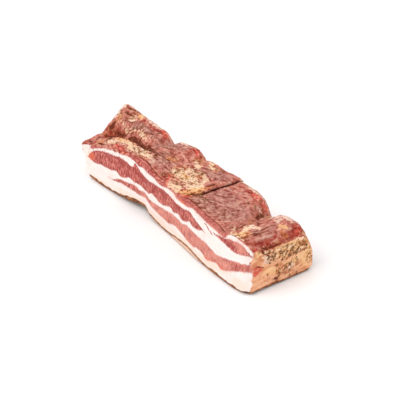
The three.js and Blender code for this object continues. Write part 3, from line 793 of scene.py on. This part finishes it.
class Finish(Tree):
    """A material and its shader tree."""

    def __init__(self, name, **constants):
        self.material = bpy.data.materials.new(name)
        self.material.use_nodes = True
        super().__init__(self.material.node_tree)
        self.shader = next(node for node in self.nodes if node.type == "BSDF_PRINCIPLED")
        for key, value in constants.items():
            self.shader.inputs[key.replace("_", " ")].default_value = value

    def mix(self, factor, a, b, blend="MIX"):
        a, b = [(*colour, 1) if not isinstance(colour, Socket) else colour for colour in (a, b)]
        return self.node("ShaderNodeMix", {"data_type": "RGBA", "blend_type": blend},
                         {0: factor, 6: a, 7: b}, out=2)

    def field(self, name):
        return self.node("ShaderNodeAttribute", {"attribute_name": name}, out=2)

    def place(self):
        return self.node("ShaderNodeTexCoord", out=3)

    def grain_place(self):
        return self.node("ShaderNodeAttribute", {"attribute_name": "fibres"}, out=1)

    def noise(self, place, size, detail=2.0, roughness=0.5):
        """Noise between 0 and 1, with lumps of this size in mm."""
        return self.node("ShaderNodeTexNoise", None, {
            "Vector": place, "Scale": 1 / (size * MM), "Detail": detail, "Roughness": roughness})

    def connect(self, **sockets):
        for key, value in sockets.items():
            self.links.new(value.socket, self.shader.inputs[key.replace("_", " ")])

    def raise_by(self, height, distance):
        """Bumps the surface by this height, where 1 is the distance in mm."""
        self.connect(Normal=self.node("ShaderNodeBump", None, {
            "Strength": 1.0, "Distance": distance * MM, "Height": height}))


def fresh_cut(finish, colours, place, grain):
    """Colour and height of the cut face: lean with its fibres, fat, and fat stained near the rind."""
    fine = finish.noise(place, 1.6, 3)
    streaks = finish.noise(grain, 1.5, 3, 0.6)
    broad = finish.noise(place, 11)
    lean = finish.mix(finish.step(streaks, 0.38, 0.68), colours.deep, colours.lean)
    lean = finish.mix(finish.step(streaks, 0.5, 0.74) * 0.45, lean, colours.pale)
    lean = finish.mix(finish.step(finish.field("deep") + 0.5 * broad, 0.6, 1.1) * 0.55, lean, colours.deep)
    lean = finish.mix(finish.field("pale") * finish.step(broad, 0.2, 0.6) * 0.55, lean, colours.pale)
    warm = finish.field("warm")
    lean = finish.mix(finish.step(warm + 0.4 * fine, 0.55, 0.95) * 0.7, lean, colours.warm)
    veins = finish.step(0.6 * streaks + 0.4 * broad + 0.16 * finish.field("pale"), 0.48, 0.68)
    fat = finish.mix(veins * 0.6, colours.fat, colours.veined_fat)
    fat = finish.mix(finish.step(warm + 0.3 * broad, 0.4, 1.0) * 0.6, fat, colours.smoked_fat)
    depth = finish.field("lean") + 2.4 * (finish.noise(place, 2, 2) - 0.5) + 2.0 * (streaks - 0.5)
    inside = finish.step(depth, -1.1, 0.8)
    return finish.mix(inside, fat, lean), 0.5 * streaks * inside + 0.35 * fine


# What lies on the dried meat of the crust, from the bottom up: how soft its edges are, and its strength.
CRUST_LAYERS = {"amber": (0.2, 0.8), "red": (0.2, 0.9), "fat": (0.2, 0.9), "gold": (0.25, 0.8),
                "frost": (0.3, 0.85), "vivid": (0.3, 0.75)}


def smoked_crust(finish, colours, place, grain):
    """Colour and height of the crust: dried meat under patches of fat, smoke, spice and bare red, with
    painted shade in its creases and pits and painted highlight on its raised tips.
    """
    fine = finish.noise(place, 1.5, 2, 0.6)
    fleck = finish.noise(place, 2.6, 3, 0.6)
    patchy = finish.noise(place, 6, 4, 0.65)
    streaks = finish.noise(grain, 1.9, 3, 0.6)
    tone = 0.2 * finish.field("tone") + 0.45 * (streaks - 0.5) + 0.5 * (fleck - 0.5) + 0.45 * (fine - 0.5)
    tone = tone + 0.5

    def patch(name, softness):
        value = finish.field(name) + 1.3 * (patchy - 0.5) + 0.9 * (fleck - 0.5) + 0.5 * (streaks - 0.5)
        return finish.step(value, 0.5 - softness, 0.5 + softness)

    colour = finish.mix(patch("mauve", 0.25) * 0.8, colours.meat, colours.mauve)
    tan = finish.field("tan")
    colour = finish.mix(finish.step(tan + 0.5 * (patchy - 0.5), 0.35, 0.6), colour, colours.tan)
    for name, (softness, strength) in CRUST_LAYERS.items():
        colour = finish.mix(patch(name, softness) * strength, colour, getattr(colours, name))
    herbs = finish.step(finish.field("herbs") + 0.9 * (patchy - 0.5), 0.3, 0.6)
    # Tips: high spots of tone, which the bump also raises, lightened: partly pale flecks, partly painted
    # highlight.
    tips = finish.step(tone, 0.52, 0.66)
    clean = tan * (1 - herbs)
    # Pits: low spots of tone, which the bump also sinks, darkened with painted shade.
    pits = finish.step(tone - 0.03 * herbs, 0.48, 0.36) * (1 - 0.6 * clean)
    colour = finish.mix(tips * (0.3 + 0.24 * patch("fat", 0.2)), colour, colours.tip_fleck_and_highlight)
    colour = finish.mix(pits, colour, colours.pit_shade, "MULTIPLY")
    coarse = finish.step(0.45 * patchy + 0.55 * fleck, 0.5, 0.42) * tan * herbs
    colour = finish.mix(coarse * 0.7, colour, colours.herb)
    specks = finish.step(0.5 * fine + 0.5 * fleck, 0.45, 0.37) * herbs
    colour = finish.mix(specks * 0.8, colour, colours.herb)
    # A brown halo round the smoke patches and the painted crease shade.
    colour = finish.mix(patch("smoke", 0.3) * 0.7, colour, colours.ember)
    # Smoke and painted crease shade, deepest where the tone is low as painted shade in the pits, and weaker
    # on the tips.
    smoke = finish.step(finish.field("smoke") + 1.1 * (0.5 - tone), 0.46, 0.8)
    colour = finish.mix(smoke * (0.9 - 0.55 * tips), colour, colours.smoke)
    return colour, tone + 0.2 * fine


def pancetta_finish(cut_colours, crust_colours):
    """The slab's material: fresh cut, smoked crust and rind, with ragged edges between them."""
    finish = Finish("pancetta_meat", Subsurface_Weight=0.06, Subsurface_Scale=0.003, IOR=1.42,
                    Specular_IOR_Level=0.12)
    finish.shader.inputs["Subsurface Radius"].default_value = (1.0, 0.5, 0.35)
    place, grain = finish.place(), finish.grain_place()
    cut, cut_height = fresh_cut(finish, cut_colours, place, grain)
    crust, crust_height = smoked_crust(finish, crust_colours, place, grain)
    ragged = finish.noise(place, 2.6, 3) - 0.5
    on_cut = finish.step(finish.field("cut") + 1.6 * ragged, -0.25, 0.35)
    colour = finish.mix(on_cut, crust, cut)
    mottle = finish.step(finish.noise(place, 3.4, 3), 0.38, 0.6)
    skin = finish.mix(mottle, cut_colours.dark_rind, cut_colours.rind)
    depth = finish.field("rind") + 1.2 * ragged
    # The curled rind painted pale: painted light reflected from the table.
    skin = finish.mix(finish.step(depth, 1.2, 3.0) * finish.field("curl") * 0.9, skin, cut_colours.pale_rind)
    on_rind = finish.step(depth, -0.3, 0.4)
    colour = finish.mix(on_rind, colour, skin)
    height = on_cut * cut_height + (1 - on_cut) * crust_height
    wet = finish.field("red") * (1 - on_cut)
    finish.connect(Base_Color=colour, Roughness=0.56 - 0.16 * on_cut - 0.14 * wet + 0.1 * crust_height)
    finish.raise_by(height, 0.9)
    return finish.material


# Spices: their dark and light tone, and the size of their mottling in mm.
SPICES = {"cracked_pepper": ((0.15, 0.065, 0.03), (0.38, 0.2, 0.1), 0.9),
          "dried_herb": ((0.17, 0.07, 0.022), (0.42, 0.22, 0.09), 1.5),
          "ground_spice": ((0.42, 0.2, 0.09), (0.85, 0.6, 0.36), 2.0)}


def spice_finish(name):
    """Pepper, dried leaf or ground spice: two tones mottled together."""
    dark, light, size = SPICES[name]
    finish = Finish(name, Specular_IOR_Level=0.1)
    mottle = finish.noise(finish.place(), size, 2)
    colour = finish.mix(finish.step(mottle, 0.38, 0.62), dark, light)
    finish.connect(Base_Color=colour, Roughness=0.6 + 0.3 * mottle)
    finish.raise_by(mottle, 0.1)
    return finish.material


# ---------------------------------------------------------------- meshes

def new_piece(name, mesh, material=None):
    piece = bpy.data.objects.new(name, mesh)
    bpy.context.scene.collection.objects.link(piece)
    if material:
        mesh.materials.clear()
        mesh.materials.append(material)
    return piece


def hand_over(piece, *nodes):
    """Attaches the piece to the root body, and hides the imported parts it stands for."""
    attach(piece, "root")
    if nodes:
        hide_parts(*nodes)


def read_vectors(data, key):
    flat = np.empty(len(data) * 3)
    data.foreach_get(key, flat)
    return flat.reshape(-1, 3)


def set_points(mesh, points):
    """Moves the mesh's vertices here, but none below the table."""
    mesh.vertices.foreach_set("co", np.column_stack([points[:, :2], np.maximum(points[:, 2], 0)]).ravel())
    mesh.update()


def slab_mesh(pitch):
    """The slab's mesh in metres, with what shows at each vertex stored on it."""
    sections = make_sections(pitch)
    far = end_rings(sections[0], far_face, -1, pitch)[::-1]
    near = end_rings(sections[-1], near_face, 1, pitch)
    points, faces = closed_grid(np.concatenate([far, sections, near]))
    mesh = bpy.data.meshes.new("slab")
    mesh.from_pydata((points * MM).tolist(), [], faces)
    mesh.update()
    normals = read_vectors(mesh.vertex_normals, "vector")
    fields = surface_fields(points, normals)
    shaped = points + normals * relief(points, normals, fields)[:, None]
    set_points(mesh, (shaped - SLAB_MIDDLE) * MM)
    for name, values in fields.items():
        mesh.attributes.new(name, "FLOAT", "POINT").data.foreach_set("value", values)
    fibres = mesh.attributes.new("fibres", "FLOAT_VECTOR", "POINT")
    fibres.data.foreach_set("vector", (fibre_coordinates(points, normals) * MM).ravel())
    mesh.shade_smooth()
    return mesh


# Grains that show from a step away, in groups: (along, across, half length, half width, count) on
# top, and (across, up, half width, half height, count) on the near end. Sizes are radii in mm.
GRAIN_SIZE, GRAIN_FLATNESS = (1.0, 1.7), 0.6
TOP_GRAINS = [(122, 24, 16, 14, 16), (24, 48, 22, 8, 9), (70, 22, 16, 10, 7), (174, 8, 14, 6, 7),
              (203, 46, 5, 7, 5)]
END_GRAINS = [(38, 28, 23, 4, 22), (34, 13, 25, 9, 12)]
OUTSIDE = 400  # mm, well clear of the slab


class Draws:
    """Random numbers between 0 and 1 from a 32-bit seed that counts up."""

    def __init__(self, seed):
        self.seed = seed

    def __call__(self):
        t = (self.seed + 0x6D2B79F5) & 0xFFFFFFFF
        self.seed += 1
        t = ((t ^ t >> 15) * (t | 1)) & 0xFFFFFFFF
        t ^= (t + ((t ^ t >> 7) * (t | 61) & 0xFFFFFFFF)) & 0xFFFFFFFF
        return ((t ^ t >> 14) & 0xFFFFFFFF) / 2 ** 32

    def spread(self, middle, half):
        return middle + half * (2 * self() - 1)


def add_grain(mesh, place, draw):
    """A cracked grain: a squashed, turned icosahedron, half sunk in the crust."""
    size = lerp(*GRAIN_SIZE, draw()) * MM
    turns = [draw() * math.pi for _ in range(3)]
    made = bmesh.ops.create_icosphere(mesh, subdivisions=1, radius=size)["verts"]
    bmesh.ops.scale(mesh, verts=made, vec=(1, 1, GRAIN_FLATNESS))
    bmesh.ops.rotate(mesh, verts=made, matrix=Euler(turns, "XYZ").to_matrix())
    bmesh.ops.translate(mesh, verts=made, vec=place)


def grain_mesh(slab, seed):
    """The grains, each where a straight line from outside meets the slab."""
    corners = [vertex.co for vertex in slab.data.vertices]
    tree = BVHTree.FromPolygons(corners, [face.vertices for face in slab.data.polygons])
    draw = Draws(seed)
    grains = bmesh.new()

    def drop(start, heading):
        start = Vector((np.array(start) - SLAB_MIDDLE) * MM)
        add_grain(grains, tree.ray_cast(start, Vector(heading))[0], draw)

    for along, across, length, width, count in TOP_GRAINS:
        for _ in range(count):
            drop((draw.spread(along, length), draw.spread(across, width), OUTSIDE), (0, 0, -1))
    for across, up, width, height, count in END_GRAINS:
        for _ in range(count):
            drop((OUTSIDE, draw.spread(across, width), draw.spread(up, height)), (-1, 0, 0))
    mesh = bpy.data.meshes.new("pepper_grains")
    grains.to_mesh(mesh)
    grains.free()
    set_points(mesh, read_vectors(mesh.vertices, "co"))
    return mesh


def flake_template(name, points, faces):
    mesh = bpy.data.meshes.new(name)
    mesh.from_pydata(points, [], faces)
    mesh.update()
    return bpy.data.objects.new(name, mesh)


def leaf_flake():
    """A curled scrap of dried leaf, 1 long: two pointed faces that meet along their edge."""
    outline = [(-0.5, 0.0, 0.10), (-0.15, 0.22, 0.02), (0.25, 0.16, 0.05), (0.5, 0.0, 0.16),
               (0.2, -0.18, 0.04), (-0.2, -0.2, 0.0)]
    points = outline + [(0.0, 0.0, 0.16), (0.0, 0.0, -0.04)]
    faces = []
    for i in range(6):
        j = (i + 1) % 6
        faces += [(j, i, 6), (i, j, 7)]
    return flake_template("leaf_flake", points, faces)


def ground_crumb():
    """A crumb of ground spice, 1 across: a lopsided eight-sided lump."""
    points = [(0.5, 0.05, 0.0), (-0.5, -0.05, 0.05), (0.06, 0.42, 0.0), (-0.08, -0.4, -0.03),
              (0.05, 0.0, 0.32), (0.0, 0.04, -0.3)]
    faces = [(0, 2, 4), (2, 1, 4), (1, 3, 4), (3, 0, 4), (2, 0, 5), (1, 2, 5), (3, 1, 5), (0, 3, 5)]
    return flake_template("ground_crumb", points, faces)


class Scatter(Tree):
    """A Geometry Nodes tree that scatters a flake over the slab where a field allows it."""

    INPUTS = {"Slab": "Object", "Flake": "Object", "Density": "Float", "Least size": "Float",
              "Most size": "Float", "Seed": "Int", "Finish": "Material"}

    def __init__(self, name, field, low, high):
        self.group = bpy.data.node_groups.new(name, "GeometryNodeTree")
        super().__init__(self.group)
        self.group.interface.new_socket("Geometry", in_out="OUTPUT", socket_type="NodeSocketGeometry")
        for label, kind in self.INPUTS.items():
            self.group.interface.new_socket(label, in_out="INPUT", socket_type="NodeSocket" + kind)
        inputs = self.node("NodeGroupInput").socket.node.outputs
        given = {label: Socket(self, inputs[label]) for label in self.INPUTS}
        allowed = self.node("GeometryNodeInputNamedAttribute", {"data_type": "FLOAT"}, {"Name": field})
        slab, flake = [self.node("GeometryNodeObjectInfo", {"transform_space": "ORIGINAL"},
                                 {"Object": given[label]}, "Geometry") for label in ("Slab", "Flake")]
        points = self.node("GeometryNodeDistributePointsOnFaces", {"distribute_method": "RANDOM"}, {
            "Mesh": slab, "Density": self.step(allowed, low, high) * given["Density"],
            "Seed": given["Seed"]}, "Points")
        facing = Socket(self, points.socket.node.outputs["Rotation"])
        turn = self.node("FunctionNodeRandomValue", {"data_type": "FLOAT_VECTOR"}, {
            "Min": (-0.5, -0.5, -math.pi), "Max": (0.5, 0.5, math.pi), "Seed": given["Seed"]})
        turned = self.node("FunctionNodeRotateRotation", {"rotation_space": "LOCAL"}, {
            "Rotation": facing, "Rotate By": turn})
        size = self.node("FunctionNodeRandomValue", {"data_type": "FLOAT"}, {
            2: given["Least size"], 3: given["Most size"], "Seed": given["Seed"]}, 1)
        placed = self.node("GeometryNodeInstanceOnPoints", None, {
            "Points": points, "Instance": flake, "Rotation": turned, "Scale": size})
        real = self.node("GeometryNodeRealizeInstances", None, {"Geometry": placed})
        finished = self.node("GeometryNodeSetMaterial", None, {
            "Geometry": real, "Material": given["Finish"]})
        self.node("NodeGroupOutput", None, {"Geometry": finished})

    def scatter(self, name, values):
        """Runs the tree with these inputs and returns the result as a plain mesh object."""
        holder = new_piece(name, bpy.data.meshes.new(name))
        modifier = holder.modifiers.new("Scatter", "NODES")
        modifier.node_group = self.group
        for item in self.group.interface.items_tree:
            if item.in_out == "INPUT":
                modifier[item.identifier] = values[item.name]
        made = holder.evaluated_get(bpy.context.evaluated_depsgraph_get())
        mesh = bpy.data.meshes.new_from_object(made)
        bpy.data.objects.remove(holder)
        for name_left in [a.name for a in mesh.attributes if not a.is_required and a.name[0] != "."]:
            mesh.attributes.remove(mesh.attributes[name_left])
        if not mesh.polygons:
            raise RuntimeError(f"nothing was scattered for {name}")
        set_points(mesh, read_vectors(mesh.vertices, "co"))
        return new_piece(name, mesh, values["Finish"])


# How herbed the crust has to be for a flake to fall there, from none to all of them, and the
# smallest size as a part of the largest.
HERBS_FALL, HERBS_LEAST = (0.4, 0.75), 0.5
CRUMBS_FALL, CRUMBS_LEAST = (0.35, 0.8), 0.4


def strew(name, flake, fall, values):
    """Strews a flake over the herbed crust, as one piece."""
    values = {"Slab": bpy.data.objects["pancetta_slab"], "Flake": flake, **values}
    hand_over(Scatter(name + "_tree", "herbs", *fall).scatter(name, values))
    bpy.data.objects.remove(flake)


# ---------------------------------------------------------------- operators

class PANCETTA_OT_slab(bpy.types.Operator):
    """Make the slab of pancetta with its cut face, crust and rind"""
    bl_idname = "pancetta.slab"
    bl_label = "Slab"

    def execute(self, context):
        scene = context.scene
        mesh = slab_mesh(scene.slab_sizes.pitch / MM)
        slab = new_piece("pancetta_slab", mesh, pancetta_finish(scene.cut_colours, scene.crust_colours))
        hand_over(slab, NODE)
        return {"FINISHED"}


class PANCETTA_OT_grains(bpy.types.Operator):
    """Add the cracked pepper grains that stand out of the crust"""
    bl_idname = "pancetta.grains"
    bl_label = "Pepper Grains"

    def execute(self, context):
        mesh = grain_mesh(bpy.data.objects["pancetta_slab"], context.scene.slab_sizes.seed)
        finish = spice_finish("cracked_pepper")
        hand_over(new_piece("pepper_grains", mesh, finish))
        return {"FINISHED"}


class PANCETTA_OT_herbs(bpy.types.Operator):
    """Scatter scraps of dried herb leaf over the crust"""
    bl_idname = "pancetta.herbs"
    bl_label = "Herb Flakes"

    def execute(self, context):
        sizes = context.scene.slab_sizes
        strew("herb_flakes", leaf_flake(), HERBS_FALL, {
            "Density": sizes.herb_density, "Least size": sizes.herb_size * HERBS_LEAST,
            "Most size": sizes.herb_size, "Seed": sizes.seed,
            "Finish": spice_finish("dried_herb")})
        return {"FINISHED"}


class PANCETTA_OT_crumbs(bpy.types.Operator):
    """Scatter crumbs of ground spice over the crust"""
    bl_idname = "pancetta.crumbs"
    bl_label = "Spice Crumbs"

    def execute(self, context):
        sizes = context.scene.slab_sizes
        strew("spice_crumbs", ground_crumb(), CRUMBS_FALL, {
            "Density": sizes.crumb_density, "Least size": sizes.crumb_size * CRUMBS_LEAST,
            "Most size": sizes.crumb_size, "Seed": sizes.seed + 1,
            "Finish": spice_finish("ground_spice")})
        return {"FINISHED"}


class PANCETTA_OT_studio(bpy.types.Operator):
    """Set up a pale floor, soft light and the camera"""
    bl_idname = "pancetta.studio"
    bl_label = "Studio"

    def execute(self, context):
        scene = context.scene
        studio = scene.studio
        make_floor()
        make_light(studio.key)
        make_sky(scene, studio.sky)
        make_camera(scene, studio)
        scene.view_settings.view_transform = "Standard"
        scene.view_settings.look = "None"
        return {"FINISHED"}


TABLE = 6.0  # its side
KEY_PLACE, KEY_SIZE = (0.15, -1.1, 1.5), (1.6, 1.2)


def make_floor():
    half = TABLE / 2
    corners = [(-half, -half, 0), (half, -half, 0), (half, half, 0), (-half, half, 0)]
    mesh = bpy.data.meshes.new("floor")
    mesh.from_pydata(corners, [], [(0, 1, 2, 3)])
    finish = Finish("white_table", Base_Color=(0.97, 0.97, 0.97, 1), Roughness=0.7, Specular_IOR_Level=0.2)
    new_piece("floor", mesh, finish.material)


def make_light(power):
    """One large soft light, up to the left of the camera."""
    light = bpy.data.lights.new("key", "AREA")
    light.shape, light.energy = "RECTANGLE", power
    light.size, light.size_y = KEY_SIZE
    lamp = bpy.data.objects.new("key", light)
    bpy.context.scene.collection.objects.link(lamp)
    lamp.location = KEY_PLACE
    lamp.rotation_euler = (-Vector(lamp.location)).to_track_quat("-Z", "Y").to_euler()


def make_sky(scene, strength):
    world = bpy.data.worlds.new("studio")
    world.use_nodes = True
    background = world.node_tree.nodes["Background"]
    background.inputs["Color"].default_value = (1, 1, 1, 1)
    background.inputs["Strength"].default_value = strength
    scene.world = world


def make_camera(scene, studio):
    data = bpy.data.cameras.new("camera")
    data.lens, data.sensor_width = studio.lens, 36
    data.clip_start, data.clip_end = 0.05, 20
    camera = bpy.data.objects.new("camera", data)
    scene.collection.objects.link(camera)
    back = Euler((-studio.elevation, 0, studio.azimuth)).to_matrix() @ Vector((0, -1, 0))
    camera.location = Vector(studio.target) + back * studio.distance
    camera.rotation_euler = (-back).to_track_quat("-Z", "Y").to_euler()
    scene.camera = camera


class PANCETTA_PT_panel(bpy.types.Panel):
    """Pieces of the pancetta, and their settings"""
    bl_idname = "PANCETTA_PT_panel"
    bl_label = "Smoked Pancetta"
    bl_space_type = "VIEW_3D"
    bl_region_type = "UI"
    bl_category = "Pancetta"

    def draw(self, context):
        for group in SETTINGS:
            box = self.layout.box()
            for name in SETTINGS[group].__annotations__:
                box.prop(getattr(context.scene, group), name)
        for operator in OPERATORS:
            self.layout.operator(operator.bl_idname)


SETTINGS = {"slab_sizes": SlabSizes, "cut_colours": CutColours, "crust_colours": CrustColours,
            "studio": StudioSettings}
OPERATORS = [PANCETTA_OT_slab, PANCETTA_OT_grains, PANCETTA_OT_herbs, PANCETTA_OT_crumbs, PANCETTA_OT_studio]


def register():
    for cls in (*SETTINGS.values(), *OPERATORS, PANCETTA_PT_panel):
        bpy.utils.register_class(cls)
    for name, group in SETTINGS.items():
        setattr(bpy.types.Scene, name, bpy.props.PointerProperty(type=group))


def unregister():
    for name in SETTINGS:
        delattr(bpy.types.Scene, name)
    for cls in (PANCETTA_PT_panel, *reversed(OPERATORS), *reversed(SETTINGS.values())):
        bpy.utils.unregister_class(cls)


def main():
    register()
    bpy.ops.pancetta.slab()
    bpy.ops.pancetta.grains()
    bpy.ops.pancetta.herbs()
    bpy.ops.pancetta.crumbs()
    bpy.ops.pancetta.studio()


if __name__ == "__main__":
    main()
